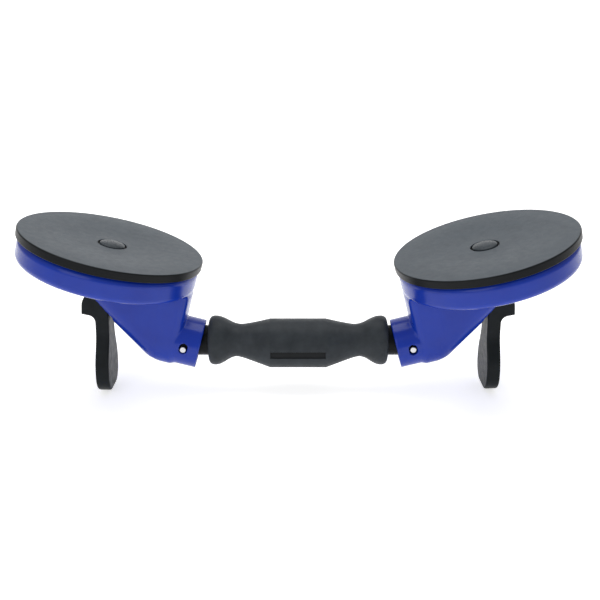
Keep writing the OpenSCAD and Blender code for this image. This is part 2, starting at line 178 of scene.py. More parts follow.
class CastingSizes(bpy.types.PropertyGroup):
    """Sizes of the painted castings."""
    pan_radius: length("Pan radius", "Radius of the pan", CAST_HIGH[0] - HEAD_X)
    pan_height: length("Pan height", "Height of the pan's wall", 16)
    pan_floor: length("Pan floor", "Thickness of the pan's floor", 4.5)
    pan_land: length("Pan land", "Width of the land under the pad's rim", 9)
    outer_round: length("Pan edge", "Radius of the pan's lower edge", 4.5)
    collar_radius: length("Collar radius", "Outer radius of the collar", -CAST_LOW[2])
    collar_nose: length("Collar nose", "Length of the collar from its pin to its mouth", -CAST_LOW[0])
    bore_radius: length("Bore radius", "Radius of the collar's bore", 13.6)
    bore_depth: length("Bore depth", "Depth of the bore past the pin", 16)
    slot_length: length("Pin slot length", "Width of the pin's slot along the collar", 5.4)
    slot_width: length("Pin slot width", "Width of the pin's slot round the collar", 7.3)
    arm_width: length("Arm width", "Width of the arm beside the collar", 33.6)
    arm_end: length("Arm end width", "Width of the arm's outer end", 25)
    arm_straight: length("Arm straight", "Distance from the pin to where the arm narrows", 22)
    arm_knee: length("Arm knee", "Distance from the pin to where the underside rises", 19.5)
    arm_slope: degrees("Arm slope", "Slope of the arm's underside", 32.3)
    arm_past: length("Arm past the middle", "How far the arm's round end is centred past the pad's middle", 5)
    arm_round: length("Arm edge", "Radius of the arm's lower edges", 13)
    lever_slot: length("Lever slot", "Width of the slot that the lever folds in", 18.7)
    plate_length: length("Wear plate", "How far the wear plate reaches past the pad's middle", 9.5)
    plate_hole: length("Plate hole", "Radius of the wear plate's hole, round the stud", 4.3)
    cell: length("Mesh cell", "Size of the mesh's cells", 0.85)


class LeverSizes(bpy.types.PropertyGroup):
    """Sizes of the cam levers."""
    reach: length("Reach", "Length of the lever from its pin to its tip", 64)
    thickness: length("Thickness", "Thickness of the stem", 9)
    neck: length("Neck width", "Width of the lever in its slot", 17.6)
    paddle: length("Paddle width", "Width of the paddle", LEVER_HIGH[1] - LEVER_LOW[1])
    offset: length("Offset", "How far the stem's middle line passes inside its pin", 1.5)
    lean: degrees("Lean", "Lean of the stem towards the handle", 13)
    paddle_start: length("Paddle start", "Distance from the pin to where the paddle starts to widen", 19)
    paddle_full: length("Paddle full", "Distance from the pin to where the paddle is at its widest", 46)
    tip_round: length("Tip round", "Radius of the paddle's corners", 14)
    tip_edge: length("Tip edge", "Radius of the tip, seen from the side", 3)
    foot: length("Foot", "How far the foot reaches past the end of the cam", 6)
    foot_slope: degrees("Foot slope", "Slope of the foot's underside", 10)
    crook: length("Crook", "Radius of the crook between the foot and the stem", 5)
    cam_low: length("Cam low", "Distance from the pin to the cam's lowest side",
                    PLATE_LOW[2] - PIVOT_Z - CAM_GAP)
    cam_lift: length("Cam lift", "How far the cam pulls", JOINTS["plunger_slide_right"]["range_m"][1] / MM)
    fork: length("Fork gap", "Width of the gap round the stud's eye", 6.6)
    edge: length("Edge", "Radius of the lever's edges", 1.1)
    cell: length("Mesh cell", "Size of the mesh's cells", 0.5)


class GripSizes(bpy.types.PropertyGroup):
    """Sizes of the grip, spigots and cross pins."""
    half: length("Half length", "Half the length of the grip", GRIP_HIGH[0])
    radius: length("Radius", "Radius of the grip's ends and barrel", GRIP_HIGH[1])
    waist: length("Waist radius", "Radius of the grip's waists", 10.2)
    waist_top: length("Upper waist", "Distance of the waists from the middle, along the top", 39)
    waist_low: length("Lower waist", "Distance of the waists from the middle, along the bottom", 42.5)
    barrel: length("Barrel", "Half the length of the barrel", 19)
    belly: length("Belly", "How far the barrel hangs below the grip's axis", 2.2)
    bore: length("Bore", "Radius of the hole in each end", 10.3)
    panel_length: length("Panel length", "Length of the plain panel in the barrel", 37)
    panel_height: length("Panel height", "Height of the plain panel", 4.6)
    panel_depth: length("Panel depth", "Depth of the plain panel", 0.7)
    panel_turn: degrees("Panel turn", "How far the plain panel is turned down from the front", 6)
    neck: length("Neck radius", "Radius of the spigot's neck", 10.25)
    ball: length("Ball radius", "Radius of the spigot's ball", 13.3)
    ball_flat: length("Ball flat", "Distance from the ball's middle to its flat end", 9)


class LifterColours(bpy.types.PropertyGroup):
    """Base colours of the finishes."""
    paint: colour("Paint", "Gloss paint of the castings", (0.006, 0.034, 0.34))
    paint_deep: colour("Deep paint", "Paint where it has run thick", (0.004, 0.020, 0.25))
    # Painted sheen: the pad colour is lighter than the rim and stands for light caught by the rubber's face.
    pad: colour("Pad", "Ground face of the rubber pads", (0.058, 0.070, 0.082))
    rim: colour("Rim", "Moulded rim of the rubber pads", (0.003, 0.004, 0.005))
    button: colour("Button", "Domed buttons in the pads", (0.030, 0.036, 0.042))
    grip: colour("Grip", "Moulded grip", (0.024, 0.028, 0.032))
    lever: colour("Lever", "Moulded levers", (0.006, 0.008, 0.009))
    steel: colour("Steel", "Pins, plates and studs", (0.62, 0.62, 0.63))
    bronze: colour("Bronze", "Guide bushes", (0.45, 0.29, 0.12))
    floor: colour("Floor", "Floor and backdrop", (0.90, 0.90, 0.90))


class StageSettings(bpy.types.PropertyGroup):
    """The camera and the lights."""
    elevation: degrees("Elevation", "Camera's angle above the horizon", 21.77)
    distance: length("Distance", "Camera's distance from the grip's middle, along its view", 515.5)
    centre_x: length("Centre X", "Distance of the view's centre to the right of the grip's middle", 1.29)
    centre_up: length("Centre up", "Distance of the view's centre above the grip's middle", 27.35)
    lens: FloatProperty(name="Lens", description="Focal length in millimetres, 36 mm sensor", default=45.1)
    key: FloatProperty(name="Key", description="Power of the large light overhead", default=6.5, unit="POWER")
    fill: FloatProperty(name="Fill", description="Power of the light beside the camera", default=2,
                        unit="POWER")
    glow: FloatProperty(name="Glow", description="Strength of the floor's own light", default=0.6)
    sky: FloatProperty(name="Sky", description="Strength of the pale surroundings", default=0.4)


class LifterProperties(bpy.types.PropertyGroup):
    """Everything that the operators read."""
    pad: PointerProperty(type=PadSizes)
    casting: PointerProperty(type=CastingSizes)
    lever: PointerProperty(type=LeverSizes)
    grip: PointerProperty(type=GripSizes)
    colours: PointerProperty(type=LifterColours)
    stage: PointerProperty(type=StageSettings)


class Millimetres:
    """Reads a group's lengths in millimetres."""

    def __init__(self, group):
        self.group = group

    def __getattr__(self, name):
        return getattr(self.group, name) / MM


# ---------------------------------------------------------------- meshes

def volume(points, triangles):
    """Signed volume inside a closed mesh, from the triple product of each triangle's corners."""
    a, b, c = (points[triangles[:, i]] for i in range(3))
    return float(np.einsum("ij,ij->i", a, np.cross(b, c)).sum() / 6)


def make_piece(name, points, quads, triangles=None, normals=None):
    """A closed mesh object of points in metres, its faces turned outwards by the sign of its volume.

    Given normals are kept as the mesh's own, point by point."""
    quads = np.asarray(quads, np.int64).reshape(-1, 4)
    triangles = np.zeros((0, 3), np.int64) if triangles is None else np.asarray(triangles, np.int64)
    split = np.concatenate([quads[:, [0, 1, 2]], quads[:, [0, 2, 3]], triangles])
    if volume(points - points.mean(0), split) < 0:
        quads, triangles = quads[:, ::-1], triangles[:, ::-1]
    corners = np.concatenate([quads.ravel(), triangles.ravel()]).astype(np.int32)
    sizes = np.concatenate([np.full(len(quads), 4), np.full(len(triangles), 3)]).astype(np.int32)
    starts = np.concatenate([[0], np.cumsum(sizes)[:-1]]).astype(np.int32)
    mesh = bpy.data.meshes.new(name)
    mesh.vertices.add(len(points))
    mesh.vertices.foreach_set("co", np.asarray(points, np.float32).ravel())
    mesh.loops.add(len(corners))
    mesh.loops.foreach_set("vertex_index", corners)
    mesh.polygons.add(len(sizes))
    mesh.polygons.foreach_set("loop_start", starts)
    mesh.polygons.foreach_set("loop_total", sizes)
    mesh.update(calc_edges=True)
    mesh.validate()
    mesh.shade_smooth()
    if normals is not None:
        mesh.normals_split_custom_set_from_vertices(normals.tolist())
    obj = bpy.data.objects.new(name, mesh)
    bpy.context.scene.collection.objects.link(obj)
    return obj


def finish_piece(obj, body, nodes, finish):
    """Gives a piece its material and body, and hides its CAD nodes."""
    obj.data.materials.append(material(finish))
    if body:
        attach(obj, body)
    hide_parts(*nodes)
    return obj


def point_mask(obj, name, values):
    """Stores a number at each of a piece's points, for its finish to read."""
    obj.data.attributes.new(name, "FLOAT", "POINT").data.foreach_set("value", values.astype(np.float32))


def rounded(corners, step=1.5, turns=7, beside=0.12):
    """An outline through corners [a, b, radius]: straight stretches with points every step, joined by arcs.

    An arc's centre lies on the corner's bisector, radius / sin(half angle) from the corner. The first
    and last corners are ends. Points stand close beside each arc so that shading stays flat."""
    corners = [np.array(corner, float) for corner in corners]
    stretches = [corners[0][:2][None]]
    for before, corner, after in zip(corners, corners[1:], corners[2:]):
        to_before, to_after = before[:2] - corner[:2], after[:2] - corner[:2]
        to_before, to_after = to_before / np.linalg.norm(to_before), to_after / np.linalg.norm(to_after)
        half = math.acos(np.clip(to_before @ to_after, -1, 1)) / 2
        bisector = (to_before + to_after) / max(np.linalg.norm(to_before + to_after), 1e-9)
        radius = max(corner[2], 0.02)
        centre = corner[:2] + bisector * radius / math.sin(half)
        start = corner[:2] + to_before * radius / math.tan(half) - centre
        end = corner[:2] + to_after * radius / math.tan(half) - centre
        t = np.linspace(0, 1, turns)[:, None]
        sweep = math.pi - 2 * half
        arc = (np.sin((1 - t) * sweep) * start + np.sin(t * sweep) * end) / math.sin(sweep)
        stretches.append(centre + arc)
    stretches.append(corners[-1][:2][None])
    points = [stretches[0]]
    for one, other in zip(stretches, stretches[1:]):
        a, b = one[-1], other[0]
        gap = np.linalg.norm(b - a)
        if gap > 0.3:
            t = np.linspace(beside / gap, 1 - beside / gap, max(2, int(gap / step) + 1))[:, None]
            points.append(a + (b - a) * t)
        points.append(other)
    return np.concatenate(points)


def grid_quads(rows, columns, closed):
    """The quads between a grid's points. The last column joins the first, and so do a closed grid's rows."""
    row, col = np.arange(rows if closed else rows - 1)[:, None], np.arange(columns)[None]
    below, beside = (row + 1) % rows, (col + 1) % columns
    corners = [row * columns + col, row * columns + beside, below * columns + beside, below * columns + col]
    return np.stack(corners, -1).reshape(-1, 4)


def end_fans(rows, columns):
    """The triangles that close a grid's first and last rows, each to a point that follows the grid's own."""
    ring, along = np.arange(columns), (np.arange(columns) + 1) % columns
    first, last = rows * columns, (rows - 1) * columns
    return np.concatenate([
        np.stack([np.full(columns, first), along, ring], -1),
        np.stack([np.full(columns, first + 1), last + ring, last + along], -1),
    ])


def spin_grid(profile, segments, closed):
    """A profile [radius, height] carried round the z axis: points on a grid, with quads and pole triangles.

    The grid's rows are the profile's points and its columns the angles. An open profile starts and ends
    on the axis, where its rows shrink to one point each."""
    angles = np.linspace(0, 2 * math.pi, segments, endpoint=False)
    rows = profile if closed else profile[1:-1]
    around = np.stack([np.cos(angles), np.sin(angles)], -1)
    points = np.concatenate([
        rows[:, None, :1] * around[None],
        np.broadcast_to(rows[:, None, 1:], (len(rows), segments, 1)),
    ], -1).reshape(-1, 3)
    quads = grid_quads(len(rows), segments, closed)
    if closed:
        return points, quads, None
    points = np.concatenate([points, [[0, 0, profile[0, 1]], [0, 0, profile[-1, 1]]]])
    return points, quads, end_fans(len(rows), segments)


# ---------------------------------------------------------------- distance fields

def round_max(a, b, r):
    """Both solids at once, with their shared outer edge rounded to radius r."""
    return np.minimum(np.maximum(a, b), -r) + np.hypot(np.maximum(a + r, 0), np.maximum(b + r, 0))


def round_min(a, b, r):
    """Either solid, with the inner corner between them filled to radius r."""
    return np.maximum(np.minimum(a, b), r) - np.hypot(np.maximum(r - a, 0), np.maximum(r - b, 0))


def slab(v, half):
    """Distance to the space within half of zero."""
    return np.abs(v) - half


def polygon_distance(a, b, corners):
    """Signed distance of the points (a, b) to a polygon: the nearest edge's distance, negative inside.

    A point is inside when a line from it crosses the polygon's edges an odd number of times."""
    nearest, sign = np.inf, 1.0
    for (x0, y0), (x1, y1) in zip(corners, corners[1:] + corners[:1]):
        ex, ey, wx, wy = x1 - x0, y1 - y0, a - x0, b - y0
        t = np.clip((wx * ex + wy * ey) / (ex * ex + ey * ey), 0, 1)
        nearest = np.minimum(nearest, (wx - ex * t) ** 2 + (wy - ey * t) ** 2)
        above, below = b >= y0, b < y1
        left = ex * wy > ey * wx
        crosses = (above & below & left) | (~above & ~below & ~left)
        sign = np.where(crosses, -sign, sign)
    return sign * np.sqrt(nearest)


def field_surface(field, low, high, cell):
    """The surface where a field is zero, with a point in each cell that it crosses.

    The field is worked out on a grid. Each crossed cell gets the mean of the crossings on its edges, each
    crossed edge joins the four cells round it by a quad, and every point is then moved along the field's
    slope until the field is zero there. The slope is also the point's normal."""
    axes = [np.arange(l - cell, h + 2 * cell, cell) for l, h in zip(low, high)]
    grid = np.broadcast_to(field(*np.ix_(*axes)), [len(a) for a in axes]).astype(np.float32)
    shape = np.array(grid.shape) - 1
    total, count = np.zeros((*shape, 3), np.float32), np.zeros(shape, np.float32)
    inside = grid < 0
    quads = []
    for axis in range(3):
        others = [k for k in range(3) if k != axis]
        low_end = [slice(None)] * 3
        high_end = [slice(None)] * 3
        low_end[axis], high_end[axis] = slice(0, -1), slice(1, None)
        f0, f1 = grid[tuple(low_end)], grid[tuple(high_end)]
        crossed = inside[tuple(low_end)] != inside[tuple(high_end)]
        t = np.where(crossed, f0 / np.where(crossed, f0 - f1, 1), 0)
        for da in (0, 1):
            for db in (0, 1):
                near = [slice(0, s) for s in shape]
                near[others[0]] = slice(da, da + shape[others[0]])
                near[others[1]] = slice(db, db + shape[others[1]])
                hit = crossed[tuple(near)]
                count += hit
                total[..., axis] += t[tuple(near)]
                total[..., others[0]] += hit * da
                total[..., others[1]] += hit * db
        where = np.argwhere(crossed)
        where = where[(where[:, others[0]] > 0) & (where[:, others[1]] > 0)]
        rising = inside[tuple(where.T)]
        cells = []
        for da, db in ((0, 0), (1, 0), (1, 1), (0, 1)):
            step = np.zeros(3, int)
            step[others[0]], step[others[1]] = da, db
            cells.append(where - step)
        quad = np.stack([np.ravel_multi_index(tuple(c.T), tuple(shape)) for c in cells], -1)
        flip = rising == (axis == 1)
        quads.append(np.where(flip[:, None], quad[:, ::-1], quad))
    quads = np.concatenate(quads)
    used = np.flatnonzero(count.ravel() > 0)
    number = np.full(count.size, -1)
    number[used] = np.arange(len(used))
    corner = np.stack(np.unravel_index(used, tuple(shape)), -1)
    start = np.array([a[0] for a in axes])
    points = start + cell * (corner + total.reshape(-1, 3)[used] / count.ravel()[used, None])
    nudge = 0.02
    for _ in range(6):
        value = field(*points.T)
        slope = np.stack([field(*(points + step).T) - field(*(points - step).T)
                          for step in nudge * np.eye(3)], -1) / (2 * nudge)
        steep = np.maximum((slope ** 2).sum(-1), 0.2)
        move = (value / steep)[:, None] * slope
        reach = np.linalg.norm(move, axis=-1, keepdims=True)
        points = points - move * np.minimum(1, 0.4 * cell / np.maximum(reach, 1e-9))
    return points, number[quads], slope / np.linalg.norm(slope, axis=-1, keepdims=True).clip(1e-6)


# ---------------------------------------------------------------- shapes

def casting_field(sizes):
    """The casting: a slab for the pan joined to the arm, both cut to one round wall, then the collar.

    The hollow under the pad, the bore, the pin's slots and the lever's slot are taken away."""
    top = PAD_LOW[2] + bpy.context.scene.lifter.pad.ring / MM
    base = top - sizes.pan_height
    slope = sizes.group.arm_slope
    end_r = sizes.arm_end / 2
    end_x = HEAD_X + sizes.arm_past
    turned = [(end_x + end_r * math.sin(a), -end_r * math.cos(a)) for a in np.radians(np.arange(6, 175, 12))]
    half = sizes.arm_width / 2
    start_x = -8
    plan = [(start_x, -half), (sizes.arm_straight, -half), *turned,
            (sizes.arm_straight, half), (start_x, half)]
    slot_inner = PLATE_LOW[0] - 0.4
    slot_top = PLATE_HIGH[2]
    into_pan = 3
    collar_back = sizes.arm_straight - 4
    knee_r, pan_fillet, collar_fillet, hollow_r = 5, 1.0, 0.8, 2
    mouth_edge, rim_edge, bore_edge, pin_slot_edge, lever_slot_edge = 0.8, 0.6, 0.7, 0.35, 0.6

    def field(x, y, z):
        from_axis = np.hypot(x - HEAD_X, y)
        pan = np.maximum(base - z, z - top)
        rising = (sizes.arm_knee - x) * -math.sin(slope) - (z + sizes.collar_radius) * math.cos(slope)
        under = round_max(-z - sizes.collar_radius, rising, knee_r)
        arm = round_max(polygon_distance(x, y, plan), under, sizes.arm_round)
        arm = np.maximum(arm, z - base - into_pan)
        body = round_min(pan, arm, pan_fillet)
        body = round_max(body, from_axis - sizes.pan_radius, sizes.outer_round)
        body = np.maximum(body, z - top)
        from_collar = np.hypot(y, z)
        collar = round_max(from_collar - sizes.collar_radius, -sizes.collar_nose - x, mouth_edge)
        body = round_min(body, np.maximum(collar, x - collar_back), collar_fillet)
        hollow = round_max(from_axis - sizes.pan_radius + sizes.pan_land,
                           base + sizes.pan_floor - z, hollow_r)
        body = round_max(body, -hollow, rim_edge)
        bore = np.maximum(from_collar - sizes.bore_radius, x - sizes.bore_depth)
        body = round_max(body, -bore, bore_edge)
        slot_r = sizes.slot_length / 2
        slot = np.hypot(x, np.maximum(np.abs(z) - sizes.slot_width / 2 + slot_r, 0)) - slot_r
        body = round_max(body, -slot, pin_slot_edge)
        lever_slot = np.maximum(np.maximum(slab(y, sizes.lever_slot / 2), slot_inner - x), z - slot_top)
        return round_max(body, -lever_slot, lever_slot_edge)

    return field


def lever_field(sizes):
    """The lever: its side view carried across, cut to its width, with a fork round the stud's eye.

    The cam's distance from the pin rises evenly with its angle, so its outline is the involute
    distance * normal + rate * tangent. The crook's arc touches the stem and the foot's sloped underside."""
    turn = JOINTS["lever_turn_right"]["range_deg"][1]
    rate = sizes.cam_lift / math.radians(turn)
    half_t = sizes.thickness / 2
    lean = sizes.group.lean
    down = np.array([-math.sin(lean), -math.cos(lean)])
    across = np.array([math.cos(lean), -math.sin(lean)])

    def cam(a):
        normal, tangent = np.array([math.sin(a), math.cos(a)]), np.array([math.cos(a), -math.sin(a)])
        return (sizes.cam_low + rate * a) * normal + rate * tangent

    def stem(along, side):
        return np.array([-sizes.offset, 0]) + along * down + side * across

    a_end = math.radians(turn)
    foot = cam(a_end) + sizes.foot * np.array([math.cos(a_end), -math.sin(a_end)])
    tilted = lean - sizes.group.foot_slope
    up = np.array([math.sin(tilted), math.cos(tilted)])
    outer = half_t + sizes.crook
    crook = stem(((foot - stem(0, outer)) @ up - sizes.crook) / (down @ up), outer)
    curve = [crook + sizes.crook * np.array([math.cos(a - lean), math.sin(a - lean)])
             for a in np.radians(np.arange(100, 181, 8))]
    heel, stem_start, past = 5, 2, sizes.reach + 5
    outline = [(-heel - 1, sizes.cam_low - 1), (-heel, sizes.cam_low)]
    outline += [cam(math.radians(a)) for a in np.arange(0, turn + 1, 10)]
    outline += [foot, *curve, stem(past, half_t), stem(past, -half_t), stem(stem_start, -half_t)]
    outline = [tuple(float(v) for v in p) for p in outline]
    pin_r, eye_wall, eye_gap, fork_edge = 2, 3.2, 1.4, 0.5
    fork_floor = -(pin_r + eye_wall + eye_gap)

    def field(x, y, z):
        x, z = x - HEAD_X, z - PIVOT_Z
        along = (x + sizes.offset) * down[0] + z * down[1]
        side = round_max(polygon_distance(x, z, outline), along - sizes.reach, sizes.tip_edge)
        t = np.clip((along - sizes.paddle_start) / (sizes.paddle_full - sizes.paddle_start), 0, 1)
        half_w = (sizes.neck + (sizes.paddle - sizes.neck) * (1 - np.cos(math.pi * t)) / 2) / 2
        width = round_max(np.abs(y) - half_w, along - sizes.reach, sizes.tip_round)
        body = round_max(side, width, sizes.edge)
        fork = np.maximum(slab(y, sizes.fork / 2), fork_floor - z)
        return round_max(body, -fork, fork_edge)

    return field


def make_field_piece(name, head, field, low, high, cell):
    """A piece of one head, cut from a distance field in the head's frame."""
    points, quads, normals = field_surface(field, low, high, cell)
    return make_piece(name, head.place(points), quads, normals=normals @ head.axes)


def grip_outline(sizes, away, barrel, waist_at):
    """Height of the grip's outline at a distance from its middle: level on the barrel, then the higher of a
    straight taper to the waist and a half cosine that swells to the round end, with the two blended."""
    end_length, end_fall, end_power = 4.1, 3, 2.6
    run_in, swell_power, blend = 3, 1.1, 3
    waist, full = sizes.waist, sizes.half - end_length
    taper = barrel - (barrel - waist) * np.clip((away - sizes.barrel) / (waist_at - sizes.barrel), 0, 1)
    flare = np.clip((away - waist_at + run_in) / (full - waist_at + run_in), 0, 1)
    flare = waist + (sizes.radius - waist) * ((1 - np.cos(math.pi * flare)) / 2) ** swell_power
    overlap = np.maximum(blend - np.abs(taper - flare), 0)
    lip = np.clip((away - full) / end_length, 0, 1)
    fall = end_fall * (1 - np.sqrt(np.clip(1 - lip ** end_power, 0, 1)))
    return np.maximum(taper, flare) + overlap ** 2 / (4 * blend) - fall


def grip_points(sizes, rows, segments):
    """The grip as circles along x, each through its top and bottom outlines, and True inside the plain panel.

    The bottom outline stands further out on the barrel than the top one, by twice the belly. The angles
    start behind the grip, so its front is half a turn on."""
    away = np.abs(rows)
    top = grip_outline(sizes, away, sizes.radius - sizes.belly, sizes.waist_top)
    bottom = grip_outline(sizes, away, sizes.radius + sizes.belly, sizes.waist_low)
    angle = np.linspace(0, 2 * math.pi, segments, endpoint=False)
    r, sag = (top + bottom)[:, None] / 2, (bottom - top)[:, None] / 2
    around = np.angle(np.exp(1j * (angle + math.pi - sizes.group.panel_turn)))
    panel = (away[:, None] < sizes.panel_length / 2) & (np.abs(around) * r < sizes.panel_height / 2)
    r = r - sizes.panel_depth * panel
    x = np.broadcast_to(rows[:, None], r.shape)
    return np.stack([x, r * np.cos(angle), r * np.sin(angle) - sag], -1), panel


# ---------------------------------------------------------------- finishes

class Shade:
    """A shader socket, so that shader maths can be written as Python expressions."""

    def __init__(self, finish, socket):
        self.finish = finish
        self.socket = socket

    def maths(self, operation, *values):
        return self.finish.node("ShaderNodeMath", {"operation": operation}, *values)

    def __add__(self, other):
        return self.maths("ADD", self, other)

    def __sub__(self, other):
        return self.maths("SUBTRACT", self, other)

    def __rsub__(self, other):
        return self.maths("SUBTRACT", other, self)

    def __mul__(self, other):
        return self.maths("MULTIPLY", self, other)

    __radd__ = __add__
    __rmul__ = __mul__


class Finish:
    """A procedural material that is written as a short list of nodes."""

    def __init__(self, name):
        self.material = bpy.data.materials.new(name)
        self.material.use_nodes = True
        self.tree = self.material.node_tree
        self.shader = self.tree.nodes["Principled BSDF"]
        self.place = self.node("ShaderNodeTexCoord", {}, output="Object")

    def node(self, kind, settings, *values, output=0, **named):
        """A new node's output: settings first, then the values or links of its sockets."""
        node = self.tree.nodes.new(kind)
        stops = settings.pop("stops", None)
        for key, value in settings.items():
            setattr(node, key, value)
        if stops:
            ramp = node.color_ramp.elements
            ramp[0].position, ramp[1].position = stops[0][0], stops[-1][0]
            ramp[0].color, ramp[-1].color = stops[0][1], stops[-1][1]
            for position, value in stops[1:-1]:
                ramp.new(position).color = value
        for index, value in enumerate(values):
            self.feed(node.inputs[index], value)
        for key, value in named.items():
            self.feed(node.inputs[key], value)
        return Shade(self, node.outputs[output])

    def feed(self, socket, value):
        """Links a shade to a socket, or sets its value."""
        if isinstance(value, Shade):
            self.tree.links.new(value.socket, socket)
        else:
            socket.default_value = value

    def noise(self, scale, detail=3.0, roughness=0.5, stretch=None):
        """Noise from 0 to 1 in the object's own place, with scale in features per metre."""
        place = self.place
        if stretch:
            place = self.node("ShaderNodeMapping", {}, Vector=place, Scale=stretch)
        return self.node("ShaderNodeTexNoise", {}, Vector=place, Scale=scale, Detail=detail,
                         Roughness=roughness, output="Fac")

    def spread(self, value, low, high):
        """A value that runs from low to high as another runs from 0.3 to 0.7."""
        return self.node("ShaderNodeMapRange", {}, value, 0.3, 0.7, low, high)

    def blend(self, share, one, other):
        """A colour between two, by share."""
        mixed = self.node("ShaderNodeMix", {"data_type": "RGBA"}, output=2)
        node = mixed.socket.node
        self.feed(node.inputs[0], share)
        self.feed(node.inputs[6], one)
        self.feed(node.inputs[7], other)
        return mixed

    def bump(self, height, strength, distance):
        """A normal that is bent by a height."""
        return self.node("ShaderNodeBump", {}, Strength=strength, Distance=distance, Height=height)

    def set(self, **sockets):
        """Sets or links the shader's sockets, by name with _ for a space, and returns the material."""
        for key, value in sockets.items():
            self.feed(self.shader.inputs[key.replace("_", " ")], value)
        return self.material


def rgba(value):
    """A colour property as four numbers."""
    return (*value, 1.0)


def paint_finish(colours):
    """Gloss paint on a casting: faint orange peel, thicker and deeper in soft patches."""
    f = Finish("blue_gloss_paint")
    patch = f.spread(f.noise(45, 2), 0, 0.55)
    peel = f.noise(700, 2, 0.45)
    speck = f.noise(3800, 1)
    height = peel * 0.8 + speck * 0.2
    return f.set(Base_Color=f.blend(patch, rgba(colours.paint), rgba(colours.paint_deep)),
                 Roughness=f.spread(f.noise(160, 3), 0.17, 0.27), Normal=f.bump(height, 0.10, 0.0003),
                 Coat_Weight=0.2, Coat_Roughness=0.1, Specular_IOR_Level=0.2)


def pad_finish(colours):
    """Rubber whose face is painted an even, lighter satin grey as painted sheen, with a moulded, darker rim
    and underside.
    """
    f = Finish("satin_pad_rubber")
    ground = f.node("ShaderNodeAttribute", {"attribute_name": "ground"}, output="Fac")
    mottle = f.spread(f.noise(90, 4, 0.6), 0, 1)
    grain = f.noise(2600, 3, 0.6)
    worn = f.blend(mottle, rgba(colours.pad), tuple(1.18 * c for c in colours.pad) + (1,))
    face = f.spread(f.noise(260, 4, 0.6), 0.40, 0.50)
    # Painted sheen: the face is coloured lighter than the rim and underside.
    return f.set(Base_Color=f.blend(ground, rgba(colours.rim), worn),
                 Roughness=ground * (face - 0.36) + 0.36,
                 Normal=f.bump(grain, 0.18, 0.0003), Specular_IOR_Level=0.15)


def moulded_finish(name, base, rough_low, rough_high, grain_scale, strength, painted_shade_mask=None):
    """Moulded rubber or plastic with a fine grain and slightly uneven gloss, darkened as painted shade where
    a mask is 1.
    """
    f = Finish(name)
    grain = f.node("ShaderNodeTexVoronoi", {}, Vector=f.place, Scale=grain_scale, output="Distance")
    cloud = f.noise(grain_scale * 0.6, 3, 0.55)
    light = tuple(min(1.0, 1.6 * c) for c in base) + (1,)
    worn = f.blend(f.spread(f.noise(120, 4, 0.6), 0, 0.8), rgba(base), light)
    if painted_shade_mask:
        inside = f.node("ShaderNodeAttribute", {"attribute_name": painted_shade_mask}, output="Fac")
        # Painted shade: where the mask is 1, in the grip's recessed panel, the colour is darkened to three
        # tenths.
        worn = f.blend(inside, worn, tuple(0.3 * c for c in base) + (1,))
    return f.set(Base_Color=worn,
                 Roughness=f.spread(f.noise(220, 3), rough_low, rough_high),
                 Normal=f.bump(grain * 0.6 + cloud * 0.4, strength, 0.0002), Specular_IOR_Level=0.12)


def metal_finish(name, base, rough_low, rough_high, stretch, dark):
    """Bare metal with fine tool marks along stretch and faint stains."""
    f = Finish(name)
    marks = f.noise(900, 4, 0.6, stretch)
    stain = f.spread(f.noise(180, 4, 0.6), 0, 0.5)
    deep = tuple(dark * c for c in base) + (1,)
    return f.set(Base_Color=f.blend(stain, rgba(base), deep), Metallic=1.0,
                 Roughness=f.spread(marks, rough_low, rough_high), Normal=f.bump(marks, 0.12, 0.0001))


def material(name):
    """The material of this name, made the first time that it is asked for.

    The moulded finishes give their colour, least and greatest roughness, grains per metre, the grain's
    strength and a mask of painted shade; the metal ones their colour, roughness, direction of the tool marks
    and stain."""
    made = bpy.data.materials.get(name)
    if made:
        return made
    colours = bpy.context.scene.lifter.colours
    makers = {"blue_gloss_paint": paint_finish, "satin_pad_rubber": pad_finish}
    moulded = {
        "satin_button_rubber": (colours.button, 0.22, 0.34, 3200, 0.08),
        # The grip's mask darkens its recessed panel as painted shade.
        "grained_grip_rubber": (colours.grip, 0.36, 0.50, 2600, 0.16, "panel"),
        "satin_black_plastic": (colours.rim, 0.30, 0.44, 3600, 0.10),
        "grained_lever_plastic": (colours.lever, 0.34, 0.48, 3000, 0.20),
    }
    metal = {
        "bright_steel": (colours.steel, 0.18, 0.32, (1, 14, 1), 0.7),
        "bright_spring_steel": (colours.steel, 0.25, 0.4, (1, 1, 6), 0.5),
        "sintered_bronze": (colours.bronze, 0.4, 0.6, (1, 1, 1), 0.6),
    }

    if name in moulded:
        return moulded_finish(name, *moulded[name])
    if name in metal:
        return metal_finish(name, *metal[name])
    return makers[name](colours)


# ---------------------------------------------------------------- operators

class LIFTER_OT_castings(bpy.types.Operator):
    """Build the two painted castings"""
    bl_idname = "lifter.castings"
    bl_label = "Castings"

    def execute(self, context):
        sizes = Millimetres(context.scene.lifter.casting)
        field = casting_field(sizes)
        for side, head in HEADS.items():
            obj = make_field_piece(f"painted_casting_{side}", head, field, CAST_LOW, CAST_HIGH, sizes.cell)
            finish_piece(obj, f"head_{side}", [f"head_casting_{side}"],
                         "blue_gloss_paint")
        return {"FINISHED"}


